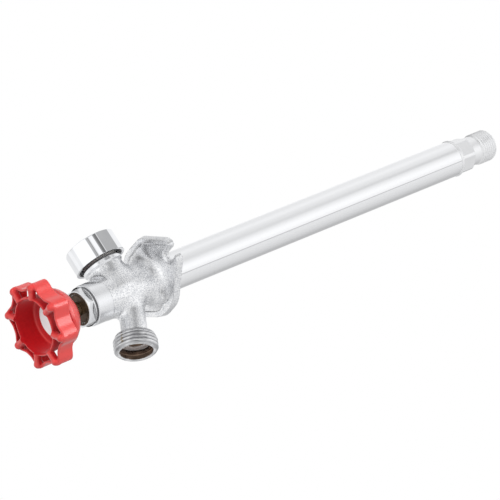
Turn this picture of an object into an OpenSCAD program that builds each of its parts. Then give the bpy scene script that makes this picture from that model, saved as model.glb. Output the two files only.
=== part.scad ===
// Frost free sillcock. +Y runs along the supply tube into the wall, +Z is up,
// and the handle faces -Y. The origin is where the tube's axis meets the wall,
// at the flange's back face. All sizes are in millimetres.

/* [Body casting] */
// Outer radius of the cast barrel
barrel_r = 13.2; // [13:0.1:13.6]
// Outer radius of the turned front end of the barrel
barrel_turned_r = 13; // [12.6:0.1:13.2]
// Length of the turned front end of the barrel
barrel_turned_len = 11; // [8:0.5:13]
// Distance from the wall to the barrel's front end
barrel_len = 53.5; // [52:0.5:58]
// Radius of the water chamber in the barrel
chamber_r = 9; // [8.2:0.1:9.4]
// Depth of the tube's socket in the casting
tube_socket_depth = 11; // [8:0.5:13]
// Axial length of the blend between barrel and flange
root_len = 9; // [6:0.5:11]
// Radial height of the blend between barrel and flange
root_h = 6; // [3:0.5:7]

/* [Wall flange] */
// Half of the flange's width, to the ears' ends
flange_half_w = 37; // [35:0.5:42]
// Height of the flange's top edge above the axis
flange_top = 24.3; // [21:0.2:26]
// Depth of the flange's bottom edge below the axis
flange_bottom = 22.9; // [21:0.2:26]
// Half length of the straight top edge
flange_top_half = 9.4; // [8:0.5:14]
// Half length of the straight bottom edge
flange_bottom_half = 8; // [6:0.5:12]
// Height of the ear's upper corner above the axis
ear_up = 6.5; // [6:0.1:8]
// Depth of the ear's lower corner below the axis
ear_down = 5.4; // [5.2:0.1:7]
// Whole thickness of the flange
flange_t = 4.4; // [3.6:0.1:6]
// Thickness of the flange's square edge
flange_edge_t = 1.4; // [1:0.1:2]
// Width of the bevel round the flange
flange_bevel = 2.4; // [1:0.1:2.6]
// Radius of the flange's long corners
flange_corner_r = 8; // [6:0.5:9]
// Width of the screw slots in the ears
slot_w = 5.2; // [4.6:0.1:5.6]
// Distance from the axis to the centre of a slot's round end
slot_x = 27.8; // [26:0.1:29]

/* [Hose outlet] */
// Distance from the wall to where the outlet's axis crosses the barrel's
outlet_y = 19.6; // [18:0.1:22]
// Tilt of the outlet towards the handle, in degrees
outlet_tilt = 28; // [20:0.5:32]
// Distance from the barrel's axis to the outlet's mouth
outlet_len = 43.7; // [42:0.1:50]
// Outer radius of the outlet's neck
outlet_neck_r = 8; // [7.4:0.1:8.6]
// Radius of the waterway in the outlet's neck
outlet_bore_r = 5.6; // [5:0.1:6]
// Crest radius of the hose thread
hose_thread_r = 13.495; // [13.4:0.005:13.6]
// Length of the hose thread
hose_thread_len = 10.6; // [9:0.1:12]
// Pitch of the hose thread
hose_pitch = 2.209; // [2:0.001:2.4]
// Depth of the hose thread
hose_thread_h = 1.25; // [1:0.05:1.4]
// Radius of the outlet's mouth
mouth_r = 10; // [9.6:0.1:10.4]
// Depth of the outlet's mouth
mouth_depth = 6.8; // [5:0.1:8]

/* [Vacuum breaker] */
// Distance from the wall to the breaker's axis
vb_y = 27.5; // [26:0.1:30]
// Outer radius of the breaker's neck
vb_neck_r = 11.8; // [11.4:0.1:12.2]
// Height of the neck's top face above the barrel's axis
vb_neck_top = 20.4; // [19.6:0.1:22]
// Outer radius of the turned ring round the neck's top
vb_ring_r = 12.9; // [12.4:0.1:13.4]
// Height of that ring
vb_ring_h = 2.4; // [1.6:0.1:3]
// Radius of the breaker's chamber in the neck
vb_chamber_r = 9; // [8.6:0.1:9.4]
// Height of the chamber's floor above the barrel's axis
vb_floor_z = 11; // [10:0.1:12]
// Radius of the passage under the chamber
vb_port_r = 6.5; // [5:0.1:7]
// Distance across the flats of the cap
cap_af = 31.5; // [30:0.5:33]
// Radius over the cap's turned corners
cap_corner_r = 17.7; // [17.2:0.1:18]
// Turn of the cap's flats about its axis, in degrees
cap_turn = 5; // [0:1:30]
// Gap between the neck's top and the cap's lower rim
cap_rim_gap = 1.2; // [1:0.1:2]
// Height of the cap from its rim to the edge of its top
cap_side_h = 13.3; // [13:0.1:16]
// Height of the cap's domed top
cap_dome_h = 2.6; // [1.5:0.1:4]
// Inner radius of the cap's skirt
cap_skirt_r = 14.8; // [14.2:0.1:15]
// Thickness of the retainer's gasket
vb_gasket_t = 1.2; // [0.8:0.1:1.6]
// Thickness of the retainer's head
vb_head_t = 2.3; // [2:0.1:3]
// Radius of the retainer's head
vb_head_r = 11.4; // [10.8:0.1:11.8]
// Radius of the retainer's collar, which carries the cap
vb_collar_r = 7.6; // [7.2:0.1:8]
// Radius of the retainer's float chamber
vb_guide_r = 6; // [5.6:0.1:6.2]
// Radius of the air port at the top of the retainer
vb_air_r = 4.4; // [4:0.1:4.6]
// Lift of the float from open to closed
float_lift = 3.2; // [2.4:0.1:3.4]

/* [Supply tube] */
// Outer radius of the tube
tube_r = 11.8; // [11.6:0.05:12]
// Wall thickness of the tube
tube_wall = 1; // [0.8:0.05:1.1]
// Reduction of the tube's radius inside its socket
tube_step = 0.4; // [0.35:0.05:0.5]
// Depth of the solder chamfer at the socket's mouth
solder_chamfer = 0.8; // [0.6:0.1:1]
// Length of the tube behind the wall's face
tube_len = 258.5; // [150:0.5:420]

/* [Inlet fitting] */
// Radius of the bead against the tube's end
bead_r = 12; // [11.9:0.05:12.6]
// Length of the bead
bead_len = 1.7; // [1:0.1:2.5]
// Distance across the flats of the inlet's hexagon
inlet_af = 21; // [20:0.1:22]
// Length of the inlet's hexagon
inlet_hex_len = 12.8; // [10:0.1:15]
// Radius of the plain neck behind the thread
inlet_neck_r = 9.6; // [9.5:0.1:9.9]
// Length of that neck
inlet_neck_len = 6.4; // [4:0.1:8]
// Crest radius of the pipe thread
pipe_thread_r = 10.55; // [10.4:0.01:10.67]
// Length of the pipe thread
pipe_thread_len = 14.1; // [13.5:0.1:16]
// Pitch of the pipe thread
pipe_pitch = 1.814; // [1.7:0.001:1.9]
// Depth of the pipe thread
pipe_thread_h = 1; // [0.8:0.05:1.1]
// Radius of the solder socket in the inlet
socket_r = 8; // [7.95:0.01:8.05]
// Depth of the solder socket
socket_depth = 12.7; // [11:0.1:14]
// Radius of the waterway through the valve's seat
seat_bore_r = 5.5; // [5:0.1:5.8]
// Depth of the fitting's spigot in the tube
spigot_len = 11; // [9:0.5:14]
// Height of the seat's raised crown
crown_h = 1.5; // [1:0.1:2]
// Outer radius of the seat's crown
crown_r = 6.9; // [6.6:0.1:7]

/* [Bonnet and packing] */
// Distance across the flats of the bonnet's hexagon
bonnet_af = 21.8; // [21:0.1:22.4]
// Length of the bonnet's hexagon
bonnet_hex_len = 5; // [4.6:0.1:6]
// Turn of the bonnet's flats about its axis, in degrees
bonnet_turn = 14; // [0:1:30]
// Thickness of the bonnet's gasket
bonnet_gasket_t = 1; // [0.6:0.1:1.2]
// Outer radius of the bonnet's gasket
bonnet_gasket_r = 11.9; // [11.4:0.1:12.4]
// Radius of the bonnet's threaded spigot
bonnet_spigot_r = 9.9; // [9.6:0.1:10]
// Length of the bonnet's threaded spigot
bonnet_spigot_len = 12.5; // [11:0.5:13]
// Length of the bonnet's tail past its spigot
bonnet_tail_len = 9; // [7:0.5:10]
// Outer radius of the bonnet's tail
bonnet_tail_r = 8; // [7.6:0.1:8.1]
// Radius of the packing nut
packing_nut_r = 8.8; // [8.4:0.1:9]
// Length of the packing nut's thread
packing_nut_len = 5.6; // [5:0.1:6.4]
// Height of the packing nut's face above the bonnet's
packing_nut_proud = 0.3; // [0.2:0.1:1.4]
// Outer radius of the packing
packing_r = 6.8; // [6.4:0.1:7]
// Length of the packing ring
packing_len = 3.2; // [2.6:0.1:3.6]
// Thickness of the packing washer
packing_washer_t = 1; // [0.6:0.1:1.2]
// Thickness of the O-ring's cord
oring_t = 1.6; // [1.4:0.1:1.7]

/* [Stem and valve] */
// Radius of the stem rod
rod_r = 4; // [3.8:0.05:4.2]
// Outer radius of the stem's thread
stem_thread_r = 5.9; // [5.6:0.05:6]
// Length of the stem's thread
stem_thread_len = 10.5; // [9:0.5:12]
// Lead of the stem's thread for one turn of the handle
stem_lead = 3; // [2:0.1:4]
// Turns of the handle from shut to fully open
stem_turns = 2.5; // [1:0.1:2.5]
// Width of the square end that drives the handle
stem_square = 5.6; // [5:0.1:5.6]
// Thickness of the seat washer
washer_t = 3; // [2:0.1:3.4]
// Radius of the seat washer
washer_r = 7.4; // [7.2:0.1:7.6]
// Gap between the shut washer and the seat
seat_gap = 0.05; // [0.02:0.01:0.1]
// Radius over the seat holder's guide wings
wing_r = 10.5; // [10.2:0.05:10.5]
// Thickness of a guide wing
wing_t = 1.4; // [1:0.1:2]

/* [Handle] */
// Distance from the wall to the handle's front rim
handle_front = 93.1; // [91:0.1:96]
// Radius over the handle's lobes
lobe_r = 27; // [25:0.1:30]
// Radius of the valleys between the lobes
valley_r = 22.4; // [21.8:0.1:23.4]
// Number of lobes
lobe_count = 8; // [6:1:9]
// Sharpness of the lobes, from broad to narrow
lobe_sharpness = 1.5; // [1:0.1:2.5]
// Thickness of the scalloped wall
lobe_wall = 1.9; // [1.5:0.1:2.2]
// Distance from the cup's rim back to the scalloped wall's front edge
wall_recess = 1.3; // [0.5:0.1:2]
// Distance from the cup's rim back to the scalloped wall's rear edge
lobe_len = 11.6; // [10:0.1:12]
// Width of a rib between cup and lobe
rib_w = 3.4; // [2.6:0.1:3.8]
// Radius of the round knob where a rib meets its lobe
knob_r = 2.1; // [1.9:0.1:2.4]
// Inner radius of the handle's cup at its rim
cup_r = 16.7; // [16:0.1:17.2]
// Thickness of the cup's wall
cup_wall = 1.5; // [1.2:0.1:2]
// Depth of the cup
cup_depth = 12.9; // [11:0.1:14]
// Whole length of the handle
handle_len = 28.6; // [27:0.1:29.4]
// Outer radius of the domed back
dome_r = 18.3; // [17.6:0.1:18.8]
// Radius of the hub round the stem
hub_r = 6.6; // [6:0.1:7]
// Radius of the name disc
disc_r = 11; // [9:0.1:12]
// Thickness of the name disc
disc_t = 0.8; // [0.6:0.1:1.2]
// Radius of the handle screw's head
screw_head_r = 3.9; // [3.4:0.1:4.2]
// Height of the handle screw's head
screw_head_h = 2.2; // [1.8:0.1:2.4]

/* [Fits] */
// Radial running clearance of the stem in its guides
run_gap = 0.08; // [0.05:0.01:0.1]
// Radial clearance between fixed pieces
fit_gap = 0.05; // [0.02:0.01:0.1]
// Facets round a full circle
facets = 96; // [48:12:120]

/* [Hidden] */
$fn = facets;

chrome_cast = [0.80, 0.80, 0.82];
chrome_bright = [0.88, 0.88, 0.90];
brass = [0.72, 0.58, 0.33];
handle_red = [0.82, 0.10, 0.11];
rubber = [0.10, 0.10, 0.11];

eps = 0.01;
over = 1;
chamfer = 0.8;

// Stations along the tube's axis, all from the wall's face.
tube_bore_r = tube_r - tube_wall;
socket_bore_r = tube_r - tube_step + fit_gap;
solder_mouth_r = tube_r + 4 * fit_gap;
bead_end = tube_len + bead_len;
hex_end = bead_end + inlet_hex_len;
thread_start = hex_end + inlet_neck_len;
inlet_end = thread_start + pipe_thread_len;
seat_y = tube_len - spigot_len - crown_h;
bonnet_back = -barrel_len - bonnet_gasket_t;
bonnet_front = bonnet_back - bonnet_hex_len;
spigot_end = bonnet_back + bonnet_spigot_len;
tail_end = spigot_end + bonnet_tail_len;
packing_bore_r = packing_r + 0.2;
nut_front = bonnet_front - packing_nut_proud;
nut_seat = bonnet_front + packing_nut_len;
nut_nose_end = nut_seat + 1.5;
packing_end = nut_nose_end + packing_len;
packing_washer_end = packing_end + packing_washer_t;
packing_bore_end = packing_washer_end + oring_t;
stem_travel = stem_lead * stem_turns;
stem_thread_end = packing_bore_end + 1 + stem_travel + stem_thread_len;

// Stations of the valve's moving end.
washer_face = seat_y - seat_gap;
washer_back = washer_face - washer_t;
holder_base_t = 4;
holder_base = washer_back - holder_base_t;
holder_shank_len = 10;
holder_front = holder_base - holder_shank_len;
holder_shank_r = rod_r + 2.2;
rod_end = holder_base - 2;
clip_t = 1.1;
clip_y = rod_end - 4;
clip_groove_depth = 0.9;

// Stations of the handle, from its front rim backwards.
rim_y = -handle_front;
lobe_back = rim_y + lobe_len;
floor_y = rim_y + cup_depth;
pocket_depth = 3;
pocket_floor = floor_y + disc_t + pocket_depth;
floor_back = pocket_floor + 2;
handle_back = rim_y + handle_len;
shaft_end = pocket_floor + 0.3;
lock_washer_t = 0.6;
square_end = handle_back + 0.6;

// Stations up the vacuum breaker, from the barrel's axis.
vb_gasket_top = vb_neck_top + vb_gasket_t;
vb_head_top = vb_gasket_top + vb_head_t;
cap_rim = vb_neck_top + cap_rim_gap;
cap_edge = cap_rim + cap_side_h;
cap_top = cap_edge + cap_dome_h;
cap_wall = 1.7;
cap_roof = cap_edge + cap_dome_h - cap_wall - 1;
cap_shank_r = 9.6;
vb_foot_z = vb_floor_z + 0.8;
vb_lip_t = 1.6;
vb_seal_t = 1.6;
vb_disc_t = 2.4;
vb_skirt_len = 3.2;
float_z = vb_foot_z + vb_lip_t;
float_disc_z = float_z + vb_skirt_len;
seal_z = float_disc_z + vb_disc_t;
air_seat_z = seal_z + vb_seal_t + float_lift + 0.1;
vb_collar_top = air_seat_z + 3.2;

// Turns a piece drawn along Z so that its axis is the tube's, with Z as +Y.
module along_tube() {
    rotate([-90, 0, 0])
        children();
}

// A profile of [radius, station] points turned about the tube's axis.
module turned(points) {
    along_tube()
        rotate_extrude()
            polygon(points);
}

// Moves a piece drawn along +Z to the outlet, with +Z running out of its mouth.
module at_outlet() {
    translate([0, -outlet_y, 0])
        rotate([180 - outlet_tilt, 0, 0])
            children();
}

// Moves a piece drawn along +Z to the vacuum breaker's axis.
module at_breaker() {
    translate([0, -vb_y, 0])
        children();
}

function unit(v) = v / norm(v);

// Points of one rounded corner at p, between the points before and after it.
function corner(before, p, after, r, steps) =
    let (
        u = unit(before - p),
        v = unit(after - p),
        half = acos(u * v) / 2,
        centre = p + unit(u + v) * r / sin(half),
        first = (p + u * r / tan(half) - centre) / r,
        last = (p + v * r / tan(half) - centre) / r
    )
    [for (i = [0 : steps]) centre + r * unit(first * (steps - i) + last * i)];

// A closed outline with every corner moved in by inset and rounded to its radius less inset.
function outline(points, radii, inset, steps = 6) =
    let (
        n = len(points),
        moved = [for (i = [0 : n - 1])
            let (
                u = unit(points[(i + n - 1) % n] - points[i]),
                v = unit(points[(i + 1) % n] - points[i])
            )
            points[i] + unit(u + v) * inset / sin(acos(u * v) / 2)]
    )
    [for (i = [0 : n - 1])
        each corner(moved[(i + n - 1) % n], moved[i], moved[(i + 1) % n], radii[i] - inset, steps)];

// A ridge of thread drawn about Z: its crest is flat and its flanks slope to the root.
module thread_ridge(crest_r, depth, pitch, crest_share) {
    crest = pitch * crest_share;
    rotate_extrude()
        polygon([
            [crest_r - depth - 0.3, -pitch * 0.44],
            [crest_r - depth, -pitch * 0.44],
            [crest_r, -crest / 2],
            [crest_r, crest / 2],
            [crest_r - depth, pitch * 0.44],
            [crest_r - depth - 0.3, pitch * 0.44]
        ]);
}

// The flange seen from the back, as [x, z] corners going round from the upper right.
flange_points = [
    [flange_top_half, flange_top],
    [flange_half_w, ear_up],
    [flange_half_w, -ear_down],
    [flange_bottom_half, -flange_bottom],
    [-flange_bottom_half, -flange_bottom],
    [-flange_half_w, -ear_down],
    [-flange_half_w, ear_up],
    [-flange_top_half, flange_top]
];
ear_corner_r = 4;
flange_radii = [
    flange_corner_r, ear_corner_r, ear_corner_r, flange_corner_r,
    flange_corner_r, ear_corner_r, ear_corner_r, flange_corner_r
];

// The bevelled front of the flange, a band of side faces between two like outlines.
module flange_front() {
    outer = outline(flange_points, flange_radii, 0);
    inner = outline(flange_points, flange_radii, flange_bevel);
    n = len(outer);
    points = concat(
        [for (p = outer) [p[0], -flange_edge_t, p[1]]],
        [for (p = inner) [p[0], -flange_t, p[1]]]
    );
    sides = [for (i = [0 : n - 1]) [i, (i + 1) % n, n + (i + 1) % n, n + i]];
    polyhedron(
        points = points,
        faces = concat([[for (i = [0 : n - 1]) n - 1 - i]], [[for (i = [0 : n - 1]) n + i]], sides)
    );
}

// One open screw slot, run out past the ear's end.
module ear_slot(side) {
    translate([side * slot_x, -flange_t - over, 0])
        along_tube()
            cylinder(r = slot_w / 2, h = flange_t + 2 * over);
    translate([side > 0 ? slot_x : -flange_half_w - over, -flange_t - over, -slot_w / 2])
        cube([flange_half_w + over - slot_x, flange_t + 2 * over, slot_w]);
}

module flange() {
    difference() {
        union() {
            rotate([90, 0, 0])
                linear_extrude(flange_edge_t)
                    polygon(outline(flange_points, flange_radii, 0));
            flange_front();
        }
        ear_slot(1);
        ear_slot(-1);
    }
}

// The concave blend that carries the barrel into the flange.
module flange_root() {
    steps = 6;
    arc = [for (i = [0 : steps])
        let (a = 90 * i / steps)
        [barrel_r + root_h * (1 - sin(a)), -flange_t - root_len * (1 - cos(a))]];
    turned(concat([[barrel_r - 2, -flange_t + 1], [barrel_r + root_h, -flange_t + 1]], arc,
        [[barrel_r - 2, -flange_t - root_len]]));
}

module outlet_outside() {
    crests = floor((hose_thread_len - 1.7) / hose_pitch);
    root_r = hose_thread_r - hose_thread_h;
    blend_start = barrel_r - 2.2;
    at_outlet() {
        cylinder(r = outlet_neck_r, h = outlet_len - mouth_depth);
        translate([0, 0, blend_start])
            cylinder(r1 = outlet_neck_r + 3, r2 = outlet_neck_r, h = 5);
        translate([0, 0, outlet_len - hose_thread_len])
            rotate_extrude()
                polygon([
                    [0, 0],
                    [root_r - 0.8, 0],
                    [root_r, 0.8],
                    [root_r, hose_thread_len - 0.6],
                    [root_r - 0.6, hose_thread_len],
                    [0, hose_thread_len]
                ]);
        for (i = [0 : crests - 1])
            translate([0, 0, outlet_len - 1.9 - i * hose_pitch])
                thread_ridge(hose_thread_r, hose_thread_h, hose_pitch, 0.3);
    }
}

module breaker_neck() {
    ring_z = vb_neck_top - vb_ring_h;
    at_breaker() {
        cylinder(r = vb_neck_r, h = vb_neck_top);
        translate([0, 0, barrel_r - 3.6])
            cylinder(r1 = vb_neck_r + 1.8, r2 = vb_neck_r, h = 4);
        rotate_extrude()
            polygon([
                [vb_chamber_r + 1, ring_z - 1],
                [vb_neck_r, ring_z - 1],
                [vb_ring_r, ring_z],
                [vb_ring_r, vb_neck_top - 0.4],
                [vb_ring_r - 0.4, vb_neck_top],
                [vb_chamber_r + 1, vb_neck_top]
            ]);
    }
}

module barrel_outside() {
    turned([
        [0, -barrel_len],
        [barrel_turned_r - chamfer, -barrel_len],
        [barrel_turned_r, -barrel_len + chamfer],
        [barrel_turned_r, -barrel_len + barrel_turned_len],
        [barrel_r, -barrel_len + barrel_turned_len + 0.4],
        [barrel_r, -flange_edge_t],
        [0, -flange_edge_t]
    ]);
}

module body_waterways() {
    turned([
        [0, -barrel_len - over],
        [bonnet_spigot_r + fit_gap, -barrel_len - over],
        [bonnet_spigot_r + fit_gap, spigot_end],
        [chamber_r, spigot_end + 1],
        [chamber_r, -tube_socket_depth],
        [socket_bore_r, -tube_socket_depth],
        [socket_bore_r, -solder_chamfer],
        [solder_mouth_r, 0],
        [solder_mouth_r, over],
        [0, over]
    ]);
    at_outlet() {
        cylinder(r = outlet_bore_r, h = outlet_len + over);
        translate([0, 0, outlet_len - mouth_depth])
            cylinder(r = mouth_r, h = mouth_depth + over);
    }
    at_breaker() {
        cylinder(r = vb_port_r, h = vb_floor_z + over);
        translate([0, 0, vb_floor_z])
            cylinder(r = vb_chamber_r, h = vb_neck_top - vb_floor_z + over);
    }
}

// The chromed brass casting: barrel, flange, hose outlet and the breaker's neck in one piece.
module body() {
    color(chrome_cast)
        difference() {
            union() {
                barrel_outside();
                flange();
                flange_root();
                outlet_outside();
                breaker_neck();
            }
            body_waterways();
        }
}

// The long tube that holds the water behind the wall's cold face.
module tube() {
    color(chrome_bright)
        turned([
            [tube_bore_r, -tube_socket_depth],
            [tube_r - tube_step, -tube_socket_depth],
            [tube_r - tube_step, 0],
            [tube_r, 0],
            [tube_r, tube_len],
            [tube_bore_r, tube_len]
        ]);
}

// The turned inlet at the tube's far end, with the valve's seat on its nose.
module inlet_fitting() {
    nose = seat_y + crown_h;
    root_r = pipe_thread_r - pipe_thread_h;
    crests = floor((pipe_thread_len - 1.2) / pipe_pitch);
    hex_corner_r = inlet_af / sqrt(3) - 0.5;
    color(chrome_bright)
        difference() {
            union() {
                turned([
                    [0, nose],
                    [tube_bore_r - fit_gap, nose],
                    [tube_bore_r - fit_gap, tube_len],
                    [bead_r - 0.5, tube_len],
                    [bead_r, tube_len + 0.5],
                    [bead_r, bead_end - 0.5],
                    [bead_r - 0.9, bead_end],
                    [inlet_neck_r, bead_end],
                    [inlet_neck_r, thread_start],
                    [root_r, thread_start],
                    [root_r, inlet_end - 0.4],
                    [root_r - 0.4, inlet_end],
                    [0, inlet_end]
                ]);
                intersection() {
                    translate([0, bead_end - 0.5, 0])
                        along_tube()
                            cylinder(r = inlet_af / sqrt(3), h = inlet_hex_len + 0.5, $fn = 6);
                    turned([
                        [0, bead_end - over],
                        [hex_corner_r, bead_end - over],
                        [hex_corner_r, hex_end - 1.6],
                        [hex_corner_r - 1.9, hex_end],
                        [0, hex_end + eps]
                    ]);
                }
                turned([
                    [0, seat_y],
                    [crown_r - 0.3, seat_y],
                    [crown_r, seat_y + 0.3],
                    [crown_r, nose + eps],
                    [0, nose + eps]
                ]);
                for (i = [0 : crests - 1])
                    translate([0, inlet_end - 1 - i * pipe_pitch, 0])
                        along_tube()
                            thread_ridge(pipe_thread_r, pipe_thread_h, pipe_pitch, 0.25);
            }
            translate([0, seat_y - over, 0])
                along_tube()
                    cylinder(r = seat_bore_r, h = inlet_end - seat_y + 2 * over);
            translate([0, inlet_end - socket_depth, 0])
                along_tube()
                    cylinder(r = socket_r, h = socket_depth + over);
        }
}

// The hexagonal bonnet that closes the barrel and carries the stem's thread.
module bonnet() {
    corner_r = bonnet_af / sqrt(3);
    color(chrome_bright)
        difference() {
            union() {
                intersection() {
                    translate([0, bonnet_front, 0])
                        along_tube()
                            rotate([0, 0, bonnet_turn])
                                cylinder(r = corner_r, h = bonnet_hex_len, $fn = 6);
                    turned([
                        [0, bonnet_front - eps],
                        [corner_r - 1.8, bonnet_front - eps],
                        [corner_r - 0.1, bonnet_front + 1.9],
                        [corner_r - 0.1, bonnet_back + over],
                        [0, bonnet_back + over]
                    ]);
                }
                turned([
                    [0, bonnet_back - eps],
                    [bonnet_spigot_r, bonnet_back - eps],
                    [bonnet_spigot_r, spigot_end],
                    [bonnet_tail_r, spigot_end],
                    [bonnet_tail_r, tail_end],
                    [0, tail_end]
                ]);
            }
            turned([
                [0, bonnet_front - over],
                [packing_nut_r + fit_gap, bonnet_front - over],
                [packing_nut_r + fit_gap, nut_seat + 0.2],
                [packing_bore_r, nut_seat + 0.2],
                [packing_bore_r, packing_bore_end],
                [stem_thread_r + run_gap, packing_bore_end],
                [stem_thread_r + run_gap, tail_end + over],
                [0, tail_end + over]
            ]);
        }
}

module bonnet_gasket() {
    color(rubber)
        turned([
            [bonnet_spigot_r + 0.1, bonnet_back],
            [bonnet_gasket_r, bonnet_back],
            [bonnet_gasket_r, -barrel_len],
            [bonnet_spigot_r + 0.1, -barrel_len]
        ]);
}

// The brass gland nut in the bonnet's face, turned with a two-pin spanner.
module packing_nut() {
    pin_hole_r = 0.9;
    color(brass)
        difference() {
            turned([
                [rod_r + run_gap, nut_front + 0.5],
                [rod_r + run_gap + 0.5, nut_front],
                [packing_nut_r - 0.5, nut_front],
                [packing_nut_r, nut_front + 0.5],
                [packing_nut_r, nut_seat],
                [packing_r, nut_seat],
                [packing_r, nut_nose_end],
                [rod_r + run_gap, nut_nose_end]
            ]);
            for (side = [-1, 1])
                translate([side * 6.4, nut_front - over, 0])
                    along_tube()
                        cylinder(r = pin_hole_r, h = 2.2 + over);
        }
}

module packing_ring() {
    color("dimgray")
        turned([
            [rod_r + run_gap, nut_nose_end],
            [packing_r, nut_nose_end],
            [packing_r, packing_end],
            [rod_r + run_gap, packing_end]
        ]);
}

module packing_washer() {
    color(brass)
        turned([
            [rod_r + run_gap, packing_end],
            [packing_r, packing_end],
            [packing_r, packing_washer_end],
            [rod_r + run_gap, packing_washer_end]
        ]);
}

module stem_oring() {
    color(rubber)
        translate([0, packing_washer_end + oring_t / 2, 0])
            along_tube()
                rotate_extrude()
                    translate([rod_r + run_gap + oring_t / 2, 0])
                        circle(d = oring_t, $fn = 24);
}

// The one-piece operating rod: square end, stem thread and the swivel's groove.
module stem_rod() {
    groove_r = rod_r - clip_groove_depth;
    thread_start_y = stem_thread_end - stem_thread_len;
    screw_hole_depth = 9;
    color(brass)
        difference() {
            union() {
                translate([-stem_square / 2, shaft_end, -stem_square / 2])
                    cube([stem_square, square_end - shaft_end + eps, stem_square]);
                turned([
                    [0, square_end],
                    [rod_r, square_end],
                    [rod_r, thread_start_y - 1.2],
                    [stem_thread_r, thread_start_y],
                    [stem_thread_r, stem_thread_end],
                    [rod_r, stem_thread_end + 1.2],
                    [rod_r, clip_y],
                    [groove_r, clip_y],
                    [groove_r, clip_y + clip_t + 0.2],
                    [rod_r, clip_y + clip_t + 0.2],
                    [rod_r, rod_end - 0.6],
                    [rod_r - 0.6, rod_end],
                    [0, rod_end]
                ]);
            }
            translate([0, shaft_end - over, 0])
                along_tube()
                    cylinder(r = 2 + fit_gap, h = screw_hole_depth + over);
        }
}

// The washer's holder: it slides on its wings in the tube and swivels on the rod.
module seat_holder() {
    cup_floor_r = washer_r + 0.1;
    rim_len = washer_t * 0.6;
    color(brass)
        difference() {
            union() {
                turned([
                    [0, holder_front],
                    [holder_shank_r, holder_front],
                    [holder_shank_r, holder_base],
                    [washer_r + 1.1, holder_base],
                    [washer_r + 1.1, washer_back + rim_len],
                    [0, washer_back + rim_len]
                ]);
                for (i = [0 : 3])
                    rotate([0, 90 * i, 0])
                        translate([0, holder_front + 1, -wing_t / 2])
                            cube([wing_r, washer_back - holder_front - 2, wing_t]);
            }
            translate([0, holder_front - over, 0])
                along_tube()
                    cylinder(r = rod_r + run_gap, h = rod_end - holder_front + over + 0.3);
            translate([0, clip_y - 0.05, 0])
                along_tube()
                    cylinder(r = rod_r + 1.1, h = clip_t + 0.1);
            translate([0, washer_back, 0])
                along_tube()
                    cylinder(r = cup_floor_r, h = rim_len + over);
            translate([0, holder_base - over, 0])
                along_tube()
                    cylinder(r = 2 + fit_gap, h = holder_base_t + 2 * over);
        }
}

// The open wire clip that keeps the holder on the rod's groove.
module holder_clip() {
    color("silver")
        translate([0, clip_y, 0])
            along_tube()
                rotate_extrude(angle = 300)
                    translate([rod_r - clip_groove_depth + 0.1, 0])
                        square([clip_groove_depth + 0.9, clip_t]);
}

module seat_washer() {
    color(rubber)
        turned([
            [2.1, washer_back],
            [washer_r, washer_back],
            [washer_r, washer_face - 0.3],
            [washer_r - 0.3, washer_face],
            [2.1, washer_face]
        ]);
}

module washer_screw() {
    head_h = 1.8;
    color(brass)
        difference() {
            turned([
                [0, holder_base + 0.6],
                [2, holder_base + 0.6],
                [2, washer_face],
                [3.6, washer_face],
                [3.6, washer_face + head_h * 0.5],
                [2.6, washer_face + head_h],
                [0, washer_face + head_h]
            ]);
            translate([-4, washer_face + head_h - 0.9, -0.45])
                cube([8, 2, 0.9]);
        }
}

// Radius of the handle's scalloped wall at an angle.
function scallop(a) = valley_r + (lobe_r - valley_r) * pow((1 + cos(lobe_count * a)) / 2, lobe_sharpness);

module scalloped_wall() {
    steps = 12 * lobe_count;
    outer = [for (i = [0 : steps - 1])
        let (a = 360 * i / steps)
        scallop(a) * [cos(a), sin(a)]];
    inner = [for (i = [0 : steps - 1])
        let (a = 360 * i / steps)
        (scallop(a) - lobe_wall) * [cos(a), sin(a)]];
    translate([0, lobe_back, 0])
        rotate([90, 0, 0])
            linear_extrude(lobe_len - wall_recess)
                difference() {
                    polygon(outer);
                    polygon(inner);
                }
}

// One radial rib with a rounded front, which swells into a knob at the lobe.
module handle_rib() {
    rib_start = cup_r + 0.4;
    knob_x = lobe_r - knob_r;
    translate([rib_start, rim_y, -rib_w / 2])
        cube([knob_x - rib_start, lobe_len, rib_w]);
    translate([rib_start, rim_y, 0])
        rotate([0, 90, 0])
            cylinder(r = rib_w / 2, h = knob_x - rib_start, $fn = 32);
    translate([knob_x, rim_y, 0])
        sphere(r = knob_r, $fn = 32);
    translate([knob_x, rim_y, 0])
        along_tube()
            cylinder(r = knob_r, h = lobe_len, $fn = 32);
}

// Cup, floor, domed back and hub, turned in one profile.
module handle_hub() {
    dome_wall = 2;
    turned([
        [disc_r + 0.1, floor_y],
        [cup_r - 2, floor_y],
        [cup_r - 1.2, floor_y - 0.9],
        [cup_r, rim_y + 1],
        [cup_r + 0.4, rim_y],
        [cup_r + cup_wall - 0.3, rim_y],
        [cup_r + cup_wall, rim_y + 0.8],
        [cup_r + 0.4, floor_y - 1],
        [dome_r - 0.8, floor_y + 0.4],
        [dome_r, floor_y + 2.4],
        [dome_r, handle_back - 11],
        [dome_r - 1, handle_back - 8.5],
        [dome_r - 3, handle_back - 6],
        [dome_r - 6, handle_back - 3.6],
        [hub_r + 3, handle_back - 1.6],
        [hub_r + 1.6, handle_back - 1.6],
        [dome_r - 6.6 - dome_wall, handle_back - 4.8],
        [dome_r - 3 - dome_wall, handle_back - 7.6],
        [dome_r - dome_wall, floor_back],
        [hub_r, floor_back],
        [hub_r, handle_back],
        [2, handle_back],
        [2, pocket_floor],
        [screw_head_r + 0.9, pocket_floor],
        [screw_head_r + 0.9, floor_y + disc_t],
        [disc_r + 0.1, floor_y + disc_t]
    ]);
}

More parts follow.
